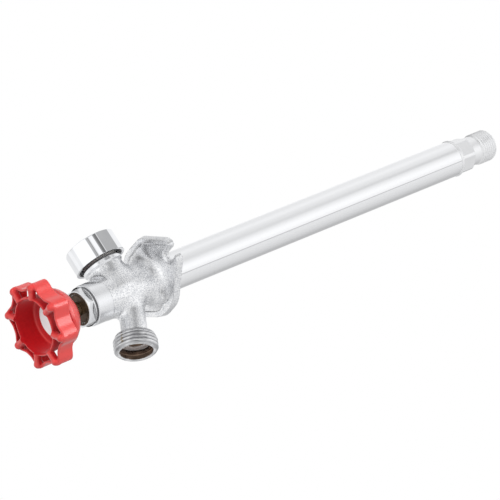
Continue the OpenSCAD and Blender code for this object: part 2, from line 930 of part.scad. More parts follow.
// The cast wheel handle, painted red.
module handle() {
    square_hole = stem_square + 2 * fit_gap;
    color(handle_red)
        difference() {
            union() {
                handle_hub();
                scalloped_wall();
                for (i = [0 : lobe_count - 1])
                    rotate([0, 360 * i / lobe_count, 0])
                        handle_rib();
            }
            translate([-square_hole / 2, shaft_end - fit_gap, -square_hole / 2])
                cube([square_hole, handle_back - shaft_end + over, square_hole]);
            translate([0, pocket_floor - over, 0])
                along_tube()
                    cylinder(r = 2.3, h = over + 1);
        }
}

module handle_screw() {
    head_back = pocket_floor - lock_washer_t;
    head_front = head_back - screw_head_h;
    color("silver")
        difference() {
            turned([
                [0, head_front],
                [screw_head_r - 0.8, head_front],
                [screw_head_r, head_front + 0.8],
                [screw_head_r, head_back],
                [2, head_back],
                [2, head_back + 8.4],
                [0, head_back + 8.4]
            ]);
            for (a = [0, 90])
                rotate([0, a, 0])
                    translate([-2, head_front - over, -0.5])
                        cube([4, 1.2 + over, 1]);
        }
}

module lock_washer() {
    color("gray")
        turned([
            [2.1, pocket_floor - lock_washer_t],
            [screw_head_r, pocket_floor - lock_washer_t],
            [screw_head_r, pocket_floor],
            [2.3, pocket_floor]
        ]);
}

// The plain bright disc that covers the screw.
module name_disc() {
    color("gainsboro")
        turned([
            [0, floor_y],
            [disc_r - 0.2, floor_y],
            [disc_r, floor_y + 0.2],
            [disc_r, floor_y + disc_t],
            [0, floor_y + disc_t]
        ]);
}

// The hexagonal cap: a hood over the breaker that lets air in under its skirt.
module vb_cap() {
    hex_r = cap_af / sqrt(3);
    color(chrome_bright)
        at_breaker()
            difference() {
                intersection() {
                    translate([0, 0, cap_rim])
                        rotate([0, 0, 30 + cap_turn])
                            cylinder(r = hex_r, h = cap_top - cap_rim, $fn = 6);
                    rotate_extrude()
                        polygon([
                            [0, cap_rim - eps],
                            [cap_corner_r - 1.3, cap_rim - eps],
                            [cap_corner_r - 0.9, cap_rim + 0.6],
                            [cap_corner_r, cap_rim + 2.6],
                            [cap_corner_r, cap_edge - 0.8],
                            [cap_corner_r - 1.4, cap_edge + 0.6],
                            [cap_corner_r - 4, cap_edge + cap_dome_h * 0.6],
                            [cap_corner_r - 9, cap_top - 0.2],
                            [0, cap_top]
                        ]);
                }
                rotate_extrude()
                    polygon([
                        [cap_shank_r, cap_rim - over],
                        [cap_skirt_r, cap_rim - over],
                        [cap_skirt_r, cap_edge - 2.6],
                        [cap_skirt_r - 1.6, cap_edge - 1],
                        [cap_shank_r, cap_edge - 1]
                    ]);
                translate([0, 0, cap_rim - over])
                    cylinder(r = cap_shank_r + eps, h = vb_head_top - cap_rim + over);
                translate([0, 0, vb_head_top])
                    cylinder(r = vb_collar_r + fit_gap, h = cap_roof - vb_head_top);
                for (a = [0, 90])
                    rotate([0, 0, a])
                        translate([-cap_skirt_r + 1, -2, vb_collar_top + 0.2])
                            cube([2 * cap_skirt_r - 2, 4, cap_edge - 1 - vb_collar_top - 0.2]);
            }
}

// The plastic retainer screwed into the neck: float chamber, air seat and collar.
module vb_retainer() {
    thread_r = vb_chamber_r - fit_gap;
    color("dimgray")
        at_breaker()
            rotate_extrude()
                polygon([
                    [vb_guide_r - 1, vb_foot_z],
                    [thread_r, vb_foot_z],
                    [thread_r, vb_gasket_top],
                    [vb_head_r, vb_gasket_top],
                    [vb_head_r, vb_head_top],
                    [vb_collar_r, vb_head_top],
                    [vb_collar_r, vb_collar_top],
                    [vb_air_r, vb_collar_top],
                    [vb_air_r, air_seat_z],
                    [vb_guide_r, air_seat_z],
                    [vb_guide_r, float_z],
                    [vb_guide_r - 1, float_z]
                ]);
}

module vb_gasket() {
    color(rubber)
        at_breaker()
            rotate_extrude()
                polygon([
                    [vb_chamber_r + 0.1, vb_neck_top],
                    [vb_head_r, vb_neck_top],
                    [vb_head_r, vb_gasket_top],
                    [vb_chamber_r + 0.1, vb_gasket_top]
                ]);
}

// The float: a skirted disc that water lifts against the air seat.
module vb_float() {
    float_r = vb_guide_r - 0.25;
    spindle_r = 2.2;
    color("ivory")
        at_breaker()
            rotate_extrude()
                polygon([
                    [float_r - 1.2, float_z],
                    [float_r, float_z],
                    [float_r, seal_z],
                    [spindle_r, seal_z],
                    [spindle_r, vb_collar_top],
                    [spindle_r - 0.5, vb_collar_top + 0.5],
                    [0, vb_collar_top + 0.5],
                    [0, float_disc_z],
                    [float_r - 1.2, float_disc_z]
                ]);
}

module vb_float_seal() {
    color(rubber)
        at_breaker()
            rotate_extrude()
                polygon([
                    [2.3, seal_z],
                    [vb_guide_r - 0.3, seal_z],
                    [vb_guide_r - 0.3, seal_z + vb_seal_t],
                    [2.3, seal_z + vb_seal_t]
                ]);
}

body();
tube();
inlet_fitting();
bonnet();
bonnet_gasket();
packing_nut();
packing_ring();
packing_washer();
stem_oring();
stem_rod();
seat_holder();
holder_clip();
seat_washer();
washer_screw();
handle();
handle_screw();
lock_washer();
name_disc();
vb_cap();
vb_retainer();
vb_gasket();
vb_float();
vb_float_seal();
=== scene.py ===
import math

import bpy
import numpy as np
from mathutils import Matrix


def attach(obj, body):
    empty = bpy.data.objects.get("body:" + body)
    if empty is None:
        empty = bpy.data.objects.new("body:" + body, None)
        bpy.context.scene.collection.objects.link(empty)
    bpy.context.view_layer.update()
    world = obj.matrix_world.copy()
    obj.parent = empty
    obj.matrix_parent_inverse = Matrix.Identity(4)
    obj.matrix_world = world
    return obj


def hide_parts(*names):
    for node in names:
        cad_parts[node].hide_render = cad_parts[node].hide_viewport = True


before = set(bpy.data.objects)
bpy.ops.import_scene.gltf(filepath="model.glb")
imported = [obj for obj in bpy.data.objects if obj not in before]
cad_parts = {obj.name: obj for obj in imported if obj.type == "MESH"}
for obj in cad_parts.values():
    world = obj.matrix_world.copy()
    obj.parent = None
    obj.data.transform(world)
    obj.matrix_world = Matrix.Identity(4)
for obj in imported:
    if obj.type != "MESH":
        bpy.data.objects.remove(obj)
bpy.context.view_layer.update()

# Tube.
# The long supply tube carries water past the cold wall. It is drawn brass,
# polished and chromed; its front end is brazed into the casting.

# Shapes are in millimetres and become metres when they are made. A place is an origin
# and three directions, the last one the piece's axis.
MM = 0.001
TUBE = np.array([[0, 0, 0], [1, 0, 0], [0, 0, -1], [0, 1, 0]], float)


def line(corners):
    """Points and outward normals of a line whose corners are arcs.

    A corner is [radius, station, fillet]. An arc starts fillet * tan(half its turn)
    before the corner, but at most 0.48 of the way to the next one, and has a point
    at least every 0.26 radians.
    """
    c = np.array(corners, float)
    points, normals = [c[0, :2]], []
    side = lambda d: np.array([d[1], -d[0]])
    unit = lambda v: v / np.hypot(*v)
    normals.append(side(unit(c[1, :2] - c[0, :2])))
    for before, here, after in zip(c[:-2], c[1:-1], c[2:]):
        a, b = here[:2] - before[:2], after[:2] - here[:2]
        la, lb = np.hypot(*a), np.hypot(*b)
        a, b = a / la, b / lb
        turn = math.atan2(a[0] * b[1] - a[1] * b[0], a @ b)
        reach = min(here[2] * abs(math.tan(turn / 2)), 0.48 * la, 0.48 * lb)
        start = here[:2] - a * reach
        r = reach / max(abs(math.tan(turn / 2)), 1e-6)
        bulge = math.copysign(1, turn)
        centre = start - side(a) * r * bulge
        steps = max(2, math.ceil(abs(turn) / 0.26))
        for t in np.linspace(0, turn, steps + 1):
            n = side(a) * math.cos(t) + a * math.sin(t)
            normals.append(n)
            points.append(centre + n * r * bulge)
    points.append(c[-1, :2])
    normals.append(side(unit(c[-1, :2] - c[-2, :2])))
    return np.array(points), np.array(normals)


def skin(name, points, normals, corners, finish, body, slot, *nodes):
    """A piece from points and normals in millimetres and four-cornered faces.

    Points that coincide to 0.0001 mm become one, and a face that loses a corner so
    becomes a triangle. The piece rides on the body and stands for the nodes.
    """
    grid = np.round(points * 1e4).astype(np.int64)
    _, first, back = np.unique(grid, axis=0, return_index=True, return_inverse=True)
    back = back.reshape(-1)
    merged = np.zeros((len(first), 3))
    np.add.at(merged, back, normals)
    merged /= np.maximum(np.linalg.norm(merged, axis=1, keepdims=True), 1e-9)
    corners = back[corners]
    keep = corners != np.roll(corners, -1, axis=1)
    whole = keep.sum(1) > 2
    corners, keep = corners[whole], keep[whole]
    sizes = keep.sum(1)
    mesh = bpy.data.meshes.new(name)
    mesh.vertices.add(len(first))
    mesh.vertices.foreach_set("co", (points[first] * MM).astype(np.float32).ravel())
    mesh.loops.add(int(sizes.sum()))
    mesh.loops.foreach_set("vertex_index", corners[keep].astype(np.int32))
    mesh.polygons.add(len(sizes))
    starts = np.concatenate([[0], np.cumsum(sizes)[:-1]])
    mesh.polygons.foreach_set("loop_start", starts.astype(np.int32))
    mesh.update(calc_edges=True)
    mesh.validate()
    mesh.polygons.foreach_set("use_smooth", np.ones(len(mesh.polygons), bool))
    mesh.normals_split_custom_set_from_vertices(merged.tolist())
    mesh.materials.append(finish)
    piece = bpy.data.objects.new(name, mesh)
    bpy.context.scene.collection.objects.link(piece)
    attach(piece, body)
    if nodes:
        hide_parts(*nodes)
    return piece


def lattice(rows, columns, closed):
    """Faces of a grid of points, rows by columns.

    The last column joins the first one, and where closed the last row does too.
    """
    j, i = np.meshgrid(np.arange(rows if closed else rows - 1), np.arange(columns), indexing="ij")
    k, m = (j + 1) % rows, (i + 1) % columns
    ring = [j * columns + i, j * columns + m, k * columns + m, k * columns + i]
    return np.stack(ring, -1).reshape(-1, 4)


def around(count):
    """Angles of that many columns, evenly round the axis."""
    return np.arange(count) * 2 * math.pi / count


def spun(place, a, r, h):
    """Points (r cos a, r sin a, h) in a place's own directions."""
    out = np.cos(a)[..., None] * place[1] + np.sin(a)[..., None] * place[2]
    return place[0] + r[..., None] * out + h[..., None] * place[3]


def turned(name, place, corners, columns, finish, body, slot, *nodes):
    """A lathe shape: the line spun round the place's axis, a ring where its ends meet."""
    closed = corners[0][:2] == corners[-1][:2]
    p, n = line(corners)
    if closed:
        p, n = p[:-1], n[:-1]
    a = around(columns)[None, :]
    points = spun(place, a, p[:, :1], p[:, 1:]).reshape(-1, 3)
    normals = spun(place, a, n[:, :1], n[:, 1:]).reshape(-1, 3) - place[0]
    faces = lattice(len(p), columns, closed)
    return skin(name, points, normals, faces, finish, body, slot, *nodes)


def group(name, inputs, outputs):
    """An empty node group with number inputs and the named outputs, with its two end nodes."""
    tree = bpy.data.node_groups.new(name, "ShaderNodeTree")
    for label, value in inputs:
        kind = "NodeSocketVector" if isinstance(value, tuple) else "NodeSocketFloat"
        tree.interface.new_socket(label, in_out="INPUT", socket_type=kind).default_value = value
    for label in outputs:
        tree.interface.new_socket(label, in_out="OUTPUT", socket_type="NodeSocketFloat")
    return tree, tree.nodes.new("NodeGroupInput").outputs, tree.nodes.new("NodeGroupOutput").inputs


def sums(tree, kind, *values, vector=False):
    """One arithmetic node; a value is a number, a tuple or another node's socket."""
    node = tree.nodes.new("ShaderNodeVectorMath" if vector else "ShaderNodeMath")
    node.operation = kind
    for socket, value in zip(node.inputs, values):
        if isinstance(value, bpy.types.NodeSocket):
            tree.links.new(value, socket)
        else:
            socket.default_value = value
    return node.outputs["Value"] if kind in ("DOT_PRODUCT", "LENGTH") else node.outputs[0]


def remap(tree, value, low, high, to_low, to_high):
    """The value taken from the range low to high to the range to_low to to_high, and held in it."""
    node = tree.nodes.new("ShaderNodeMapRange")
    for socket, given in zip(node.inputs, (value, low, high, to_low, to_high)):
        if isinstance(given, bpy.types.NodeSocket):
            tree.links.new(given, socket)
        else:
            socket.default_value = given
    return node.outputs["Result"]


def noise(tree, place, scale, detail=2.0, rough=0.5, flat=False):
    """A noise texture's value over a place, or over one number where flat."""
    node = tree.nodes.new("ShaderNodeTexNoise")
    node.noise_dimensions = "1D" if flat else "3D"
    node.inputs["Detail"].default_value = detail
    node.inputs["Roughness"].default_value = rough
    if isinstance(scale, bpy.types.NodeSocket):
        tree.links.new(scale, node.inputs["Scale"])
    else:
        node.inputs["Scale"].default_value = scale
    tree.links.new(place, node.inputs["W" if flat else "Vector"])
    return node.outputs[0]


# Cast grain is the fine sand texture left under the plating, with broader cloudy patches.
grain_inputs = [("Fine", 1500.0), ("Broad", 160.0), ("Waves", 0.3)]
grain, given, out = group("cast_grain", grain_inputs, ["Height", "Tone"])
here = grain.nodes.new("ShaderNodeTexCoord").outputs["Object"]
fine = noise(grain, here, given["Fine"], detail=4.0, rough=0.62)
broad = noise(grain, here, given["Broad"], detail=3.0, rough=0.55)
grain.links.new(sums(grain, "ADD", fine, sums(grain, "MULTIPLY", broad, given["Waves"])), out["Height"])
mostly_fine = sums(grain, "MULTIPLY", fine, 0.9)
grain.links.new(sums(grain, "MULTIPLY_ADD", broad, 0.1, mostly_fine), out["Tone"])


def finish(name, effect, values, dark, light, rough, bump, fixed):
    """A material made of a group's two outputs.

    Its Tone, from 0.3 to 0.7, mixes two colours and two roughnesses, and its Height
    feeds a bump of so many millimetres. fixed sets the shader's own sockets.
    """
    material = bpy.data.materials.new(name)
    material.use_nodes = True
    tree = material.node_tree
    shader = tree.nodes["Principled BSDF"]
    for label, value in fixed.items():
        shader.inputs[label].default_value = value
    marks = tree.nodes.new("ShaderNodeGroup")
    marks.node_tree = effect
    for label, value in values.items():
        marks.inputs[label].default_value = value
    colour = tree.nodes.new("ShaderNodeValToRGB")
    for element, stop, shade in zip(colour.color_ramp.elements, (0.3, 0.7), (dark, light)):
        element.position, element.color = stop, (*shade, 1)
    tree.links.new(marks.outputs["Tone"], colour.inputs[0])
    tree.links.new(colour.outputs[0], shader.inputs["Base Color"])
    tree.links.new(remap(tree, marks.outputs["Tone"], 0.3, 0.7, *rough), shader.inputs["Roughness"])
    relief = tree.nodes.new("ShaderNodeBump")
    relief.inputs["Distance"].default_value = bump * MM
    tree.links.new(marks.outputs["Height"], relief.inputs["Height"])
    tree.links.new(relief.outputs[0], shader.inputs["Normal"])
    return material


def tinted(material, share, colour):
    """The material's colour goes over to another one where the share is 1."""
    tree = material.node_tree
    base = tree.nodes["Principled BSDF"].inputs["Base Color"]
    mix = tree.nodes.new("ShaderNodeMix")
    mix.data_type = "RGBA"
    tree.links.new(base.links[0].from_socket, mix.inputs["A"])
    mix.inputs["B"].default_value = (*colour, 1)
    tree.links.new(share, mix.inputs["Factor"])
    tree.links.new(mix.outputs["Result"], base)


metal = {"Metallic": 1.0}
tube_chrome = finish(
    "tube_chrome", grain, {"Fine": 700.0, "Broad": 40.0},
    dark=(0.95, 0.955, 0.965), light=(0.985, 0.985, 0.99), rough=(0.2, 0.24), bump=0.0012, fixed=metal,
)
# A fine dark line runs the tube's whole length, 37 degrees below its right side: a painted reflection.
tree = tube_chrome.node_tree
split = tree.nodes.new("ShaderNodeSeparateXYZ")
tree.links.new(tree.nodes.new("ShaderNodeTexCoord").outputs["Object"], split.inputs[0])
turn = sums(tree, "ARCTAN2", split.outputs["Z"], split.outputs["X"])
reflection_angle, reflection_half, reflection_edge = -0.64, 0.016, 0.03
off_reflection = sums(tree, "ABSOLUTE", sums(tree, "SUBTRACT", turn, reflection_angle))
tinted(tube_chrome, remap(tree, off_reflection, reflection_half, reflection_edge, 1.0, 0.0), (0.66, 0.66, 0.67))
tube_r, tube_wall, tube_len = 11.8, 1.0, 258.5
socket_r, socket_depth = 11.7, 11
turned(
    "tube_skin", TUBE,
    [[tube_r - tube_wall, -socket_depth, 0], [socket_r, -socket_depth, 0.2], [socket_r, -0.1, 0.05],
     [tube_r, 0, 0.05], [tube_r, tube_len, 0.25], [tube_r - tube_wall, tube_len, 0.2],
     [tube_r - tube_wall, -socket_depth, 0]],
    256, tube_chrome, "valve", "bright_chrome", "tube",
)

# Inlet fitting.
# The inlet is one turned brass piece, chromed: a bead against the tube's end,
# a hexagon for the wrench, a neck, a taper thread outside and a solder socket.


def surface(name, shape, rows, columns, finish, body, slot, *nodes, closed=True):
    """A surface shape(u, v), with v going round, sampled at the given rows and columns.

    The normals are the cross product of its two small differences.
    """
    u, v = np.meshgrid(rows, columns, indexing="ij")
    h = 2e-4
    p = shape(u, v)
    across = shape(u, v + h) - shape(u, v - h)
    along = shape(u + h, v) - shape(u - h, v)
    n = np.cross(across, along).reshape(-1, 3)
    n /= np.maximum(np.linalg.norm(n, axis=1, keepdims=True), 1e-12)
    faces = lattice(len(rows), len(columns), closed)
    return skin(name, p.reshape(-1, 3), n, faces, finish, body, slot, *nodes)


def along_line(corners, gap):
    """The line of a lathe shape as radius and station at a length along it.

    The third value is the lengths at which to sample it, no further apart than gap.
    """
    p, _ = line(corners)
    reach = np.concatenate([[0], np.cumsum(np.hypot(*np.diff(p, axis=0).T))])
    r, h = (lambda s, k=k: np.interp(s % reach[-1], reach, p[:, k]) for k in (0, 1))
    rows = [
        np.linspace(a, b, max(1, math.ceil((b - a) / gap)), endpoint=False)
        for a, b in zip(reach, reach[1:]) if b > a
    ]
    return r, h, np.concatenate(rows)


def off_flat(a, turn):
    """Angle from a to the middle of the nearest flat of a hexagon turned by so much."""
    return np.abs((a - turn + math.pi / 6) % (math.pi / 3) - math.pi / 6)


def hexagon(a, flat, corner, turn):
    """Radius of a hexagon with round corners at angle a.

    It is flat / cos(t) on the flats, where t is the angle from a flat's middle, and
    the corner's arc beyond them.
    """
    t = off_flat(a, turn)
    centre = (flat - corner) / math.cos(math.pi / 6)
    d = math.pi / 6 - t
    arc = centre * np.cos(d) + np.sqrt(np.maximum(corner**2 - (centre * np.sin(d)) ** 2, 0))
    on_flat = t <= math.atan((flat - corner) * math.tan(math.pi / 6) / flat)
    return np.where(on_flat, flat / np.cos(t), arc)


def thread(a, h, top, pitch, start, end, crest, radii):
    """Radius of a helical thread at angle a and station h.

    Its crest passes angle 0 at the station top and is flat over that share of the
    pitch. The flanks are straight and reach the root at 0.46 of the pitch from the
    crest's middle. It fades over its first turn and over the last 0.7 of a turn. The
    radii are those of the root and the crest.
    """
    turn = np.abs(((h - top) / pitch - a / (2 * math.pi) + 0.5) % 1 - 0.5)
    ridge = np.clip((0.46 - turn) / (0.46 - crest / 2), 0, 1)
    fade = np.clip((h - start) / pitch, 0, 1) * np.clip((end - h) / (0.7 * pitch), 0, 1)
    return radii[0] + (radii[1] - radii[0]) * ridge * fade


# Lathe marks are fine rings about an axis, from noise over station plus radius. Tone
# falls near the Root radius and is clean by the Crest: dull plating inside the cap's skirt,
# and painted shade in the roots of the hose thread.
lathe_inputs = [
    ("Origin", (0.0, 0.0, 0.0)), ("Axis", (0.0, 1.0, 0.0)), ("Lines", 4000.0),
    ("Root", 0.0), ("Crest", 0.001),
]
lathe, given, out = group("lathe_marks", lathe_inputs, ["Height", "Tone"])
here = lathe.nodes.new("ShaderNodeTexCoord").outputs["Object"]
arm = sums(lathe, "SUBTRACT", here, given["Origin"], vector=True)
station = sums(lathe, "DOT_PRODUCT", arm, given["Axis"], vector=True)
across = sums(lathe, "CROSS_PRODUCT", arm, given["Axis"], vector=True)
radius = sums(lathe, "LENGTH", across, vector=True)
wobble = sums(lathe, "MULTIPLY", noise(lathe, here, 60.0), 0.0006)
track = sums(lathe, "ADD", sums(lathe, "ADD", station, radius), wobble)
turns = sums(lathe, "MULTIPLY", track, given["Lines"])
rings = noise(lathe, turns, 1.0, detail=3.0, rough=0.6, flat=True)
lathe.links.new(rings, out["Height"])
off_root = sums(lathe, "ABSOLUTE", sums(lathe, "SUBTRACT", radius, given["Root"]))
rise = sums(lathe, "SUBTRACT", given["Crest"], given["Root"])
dull_and_shaded_root = remap(lathe, off_root, 0.0, rise, -0.6, 0.0)
lathe.links.new(sums(lathe, "ADD", noise(lathe, here, 220.0, detail=3.0), dull_and_shaded_root), out["Tone"])

inlet_chrome = finish(
    "inlet_chrome", lathe, {"Lines": 2600.0},
    dark=(0.96, 0.963, 0.97), light=(0.995, 0.995, 0.998), rough=(0.34, 0.4), bump=0.004, fixed=metal,
)
plug_end, nut_start, nut_end, pipe_start, inlet_end = 246, 260.25, 273, 279.5, 293.5
bore_r, solder_r, solder_end, neck_r = 5.5, 8.0, 280.8, 9.6
outside_r = 8.3
inlet_r, inlet_h, inlet_rows = along_line(
    [[bore_r, plug_end, 0], [6.9, plug_end, 0.2], [6.9, 247.5, 0.2], [10.7, 247.5, 0.3],
     [10.7, tube_len, 0], [12.0, tube_len + 0.1, 0.5], [12.0, 260.2, 0.5],
     [13, nut_start, 0], [13, nut_end, 0], [neck_r, nut_end + 0.02, 0.3], [neck_r, 279.4, 0.2],
     [9.7, pipe_start, 0], [12, 279.6, 0], [12, 293.4, 0], [9.0, inlet_end, 0.2],
     [solder_r, inlet_end, 0.3], [solder_r, solder_end, 0.2], [bore_r, solder_end, 0.2],
     [bore_r, plug_end, 0]], gap=0.3,
)


def inlet_shape(s, a):
    """The turned line, its outside cut by the hexagon and, beyond the neck, by the pipe thread."""
    r, h = inlet_r(s), inlet_h(s)
    chamfer = np.minimum(11.62, 11.62 - 1.2 * (h - 271.4))
    nut = np.minimum(hexagon(a, flat=10.5, corner=0.5, turn=0.0), chamfer)
    pipe = thread(
        a, h, top=292.6, pitch=1.814, start=279.6, end=inlet_end, crest=0.26, radii=(9.55, 10.5)
    )
    pipe = np.minimum(pipe, 10.9 - 1.2 * np.maximum(h - 292.6, 0))
    outside = r > outside_r
    r = np.where(outside & (h > nut_start - 0.03) & (h < nut_end + 0.05), np.minimum(r, nut), r)
    r = np.where(outside & (h > pipe_start - 0.01), np.minimum(r, pipe), r)
    return spun(TUBE, a, r, h)


# The thread's rows lie twice as close as the others.
between = inlet_rows[:-1] + np.diff(inlet_rows) / 2
on_thread = between[(inlet_r(between) > outside_r) & (inlet_h(between) > 279)]
fine_rows = np.unique(np.concatenate([inlet_rows, on_thread]))
surface(
    "inlet_skin", inlet_shape, fine_rows, around(192), inlet_chrome,
    "valve", "bright_chrome", "inlet_fitting",
)

# Body casting.
# The body is one brass casting, sand cast and satin chromed. It has the barrel, the
# wall flange with two open screw slots, the hose outlet and the breaker's neck.

# The outlet slants 28 degrees towards the handle, and the breaker stands upright.
OUTLET = np.array(
    [[0, -19.6, 0], [1, 0, 0], [0, -0.882948, 0.469472], [0, -0.469472, -0.882948]], float
)
BREAKER = np.array([[0, -27.5, 0], [1, 0, 0], [0, 1, 0], [0, 0, 1]], float)
# The flange's corners, each with its radius. The casting isn't quite symmetric.
flange_corners = [
    [14.5, 23.6, 9], [36.9, 8.6, 7.5], [37, -6, 7.0], [9, -22.8, 20],
    [-9, -22.8, 20], [-37, -6, 5.4], [-37, 6.2, 5.4], [-7.4, 24.2, 20],
]
flange_t, flange_round, flange_fillet, rim_width, dish_floor = 4.4, 3.9, 8.5, 4.4, 3.4
slot_x, slot_z, slot_half, slot_edge = 27.8, 0.8, 2.6, 3.2
barrel_r, barrel_join, barrel_end = 13.2, -42.5, -53.5
branch_fillet, spout_r, air_r, stub_r, stub_end = 4.6, 5.6, 9.0, 11.8, 18.0


def rounded_outline(corners, inset):
    """A closed outline moved in by inset.

    Each corner is an arc of its radius less the inset, in six steps.
    """
    c = np.array(corners, float)
    outline = []
    for before, here, after in zip(np.roll(c, 1, 0), c, np.roll(c, -1, 0)):
        u, v = before[:2] - here[:2], after[:2] - here[:2]
        u, v = u / np.hypot(*u), v / np.hypot(*v)
        half = math.acos(u @ v) / 2
        middle = (u + v) / np.hypot(*(u + v))
        centre = here[:2] + middle * here[2] / math.sin(half)
        first, last = -np.array([-u[1], u[0]]), np.array([-v[1], v[0]])
        first, last = first * np.sign(first @ -middle), last * np.sign(last @ -middle)
        for t in np.linspace(0, 1, 7):
            d = first * (1 - t) + last * t
            outline.append(centre + d / np.hypot(*d) * (here[2] - inset))
    return np.array(outline)


flange_line = rounded_outline(flange_corners, flange_round)


def blend(a, b, k):
    """The smaller of two distances, with a fillet about k / 1.2 wide where they cross."""
    h = np.maximum(k - np.abs(a - b), 0) / k
    return np.minimum(a, b) - h * h * k / 4


def carve(a, b, k):
    """Distance a with distance b cut out of it, and a round edge about k wide."""
    return -blend(-a, b, k)


def outline_distance(x, z, points):
    """Signed distance in the plane to a closed outline.

    It is the least distance to its sides, negative inside by the crossing rule.
    """
    best = np.full(x.shape, 1e9)
    inside = np.zeros(x.shape, bool)
    for (ax, az), (bx, bz) in zip(points, np.roll(points, -1, 0)):
        ex, ez = bx - ax, bz - az
        t = np.clip(((x - ax) * ex + (z - az) * ez) / (ex * ex + ez * ez), 0, 1)
        best = np.minimum(best, (x - ax - t * ex) ** 2 + (z - az - t * ez) ** 2)
        if az != bz:
            inside ^= ((az > z) != (bz > z)) & (x < (bx - ax) * (z - az) / (bz - az) + ax)
    return np.sqrt(best) * np.where(inside, -1, 1)


def rod(x, y, z, place, r, low, high, edge):
    """Signed distance to a cylinder about a place's axis between two stations, with round edges."""
    q = np.stack([x - place[0, 0], y - place[0, 1], z - place[0, 2]], -1)
    h = q @ place[3]
    out = np.sqrt(np.maximum((q**2).sum(-1) - h * h, 0)) - r + edge
    end = np.abs(h - (low + high) / 2) - (high - low) / 2 + edge
    return np.minimum(np.maximum(out, end), 0) + np.hypot(np.maximum(out, 0), np.maximum(end, 0)) - edge


def casting(x, y, z):
    """Distance to the casting.

    Barrel, dished flange, outlet and neck join with fillets, and the slots and the
    waterways are cut out. The flange's back is the plane y = 0.
    """
    plan = outline_distance(x, z, flange_line) - flange_round
    bevel = (plan + 1.0 + (-y - flange_t) * 0.22) * 0.977
    plate = np.maximum(-blend(-plan, -bevel, 0.7), -y - flange_t)
    dish = np.maximum((plan + rim_width) * 0.7, y + dish_floor)
    slot = np.hypot(np.maximum(slot_x - np.abs(x), 0), z - slot_z) - slot_half
    plate = carve(carve(plate, dish, 0.9), slot, slot_edge)
    barrel = rod(x, y, z, TUBE, r=barrel_r, low=barrel_join, high=2, edge=0.35)
    outlet = rod(x, y, z, OUTLET, r=8.0, low=0, high=33.4, edge=0.3)
    stub = rod(x, y, z, BREAKER, r=stub_r, low=0, high=stub_end, edge=0.3)
    solid = blend(plate, barrel, flange_fillet)
    solid = blend(blend(solid, outlet, branch_fillet), stub, branch_fillet)
    solid = np.maximum(solid, y)
    waterways = [
        (TUBE, 9.0, -60, -socket_depth), (TUBE, socket_r + 0.05, -socket_depth, 3),
        (OUTLET, spout_r, 0, 60), (BREAKER, 6.5, 0, 12), (BREAKER, air_r, 11, 30),
    ]
    for place, r, low, high in waterways:
        solid = np.maximum(solid, -rod(x, y, z, place, r, low, high, edge=0.2))
    return solid


def grown(name, distance, low, high, step, finish, body, slot, *nodes):
    """The skin of a signed distance, on a grid of cells of that step.

    Each cell that the surface crosses gets one point, at the mean of its edges'
    crossings and then moved onto the surface along the slope, and each crossed grid
    edge gets one face. The distance is asked at every fourth grid point first, and
    at all of them only where the surface is near.
    """
    axes = [np.arange(a, b + step, step) for a, b in zip(low, high)]
    shape = [len(a) for a in axes]
    coarse = [a[::4] for a in axes]
    rough = distance(*np.meshgrid(*coarse, indexing="ij"))
    near = np.abs(rough) < 7.5 * step
    spread = lambda v: np.repeat(np.repeat(np.repeat(v, 4, 0), 4, 1), 4, 2)
    full = lambda v: spread(v)[: shape[0], : shape[1], : shape[2]]
    wide = near.copy()
    for axis in range(3):
        wide |= np.roll(near, 1, axis) | np.roll(near, -1, axis)
        near = wide.copy()
    field = full(rough).copy()
    ask = np.nonzero(full(wide))
    field[ask] = distance(axes[0][ask[0]], axes[1][ask[1]], axes[2][ask[2]])
    inside = field < 0
    cells = [s - 1 for s in shape]
    take = lambda v, o: v[o[0] : o[0] + cells[0], o[1] : o[1] + cells[1], o[2] : o[2] + cells[2]]
    corners = [(i, j, k) for i in (0, 1) for j in (0, 1) for k in (0, 1)]
    count = sum(take(inside, o).astype(np.int8) for o in corners)
    active = np.nonzero((count > 0) & (count < 8))
    index = np.full(cells, -1, np.int64)
    index[active] = np.arange(len(active[0]))
    base = np.stack(active, -1)
    total, hits = np.zeros((len(base), 3)), np.zeros((len(base), 1))
    at = lambda o: field[active[0] + o[0], active[1] + o[1], active[2] + o[2]]
    for o in corners:
        for axis in (i for i in range(3) if not o[i]):
            here, there = at(o), at(tuple(o[i] + (i == axis) for i in range(3)))
            cross = (here < 0) != (there < 0)
            t = np.where(cross, here / np.where(cross, here - there, 1), 0)
            spot = np.tile(np.array(o, float), (len(base), 1))
            spot[:, axis] += t
            total += spot * cross[:, None]
            hits += cross[:, None]
    points = (base + total / hits) * step + np.array([a[0] for a in axes])

    def slope(p, h):
        """The distance's change along the three axes, from a step h to both sides."""
        both = [distance(*(p + e).T) - distance(*(p - e).T) for e in np.eye(3) * h]
        return np.stack(both, -1) / (2 * h)

    for _ in range(3):
        g = slope(points, 0.02)
        move = -distance(*points.T)[:, None] * g / np.maximum((g**2).sum(1, keepdims=True), 0.2)
        length = np.linalg.norm(move, axis=1, keepdims=True)
        points = points + move * np.minimum(1, 0.4 * step / np.maximum(length, 1e-9))
    normals = slope(points, 0.05)
    normals /= np.maximum(np.linalg.norm(normals, axis=1, keepdims=True), 1e-9)
    faces = []
    for axis in range(3):
        b, c = np.roll(np.eye(3, dtype=int), -axis - 1, 0)[:2]
        lo = [slice(1, s - 1) for s in shape]
        lo[axis] = slice(0, shape[axis] - 1)
        hi = list(lo)
        hi[axis] = slice(1, shape[axis])
        f0, f1 = inside[tuple(lo)], inside[tuple(hi)]
        spots = np.stack(np.nonzero(f0 != f1), -1)
        outward = f0[tuple(spots.T)]
        spots += np.array([s.start for s in lo])
        ring = np.stack([index[tuple((spots - e).T)] for e in (b + c, c, b - b, b)], -1)
        ring[~outward] = ring[~outward, ::-1]
        faces.append(ring)
    return skin(name, points, normals, np.concatenate(faces), finish, body, slot, *nodes)


def about(place, **inputs):
    """Inputs of the lathe marks for a piece that is turned about a place's axis."""
    return {"Origin": tuple(place[0] * MM), "Axis": tuple(place[3]), **inputs}


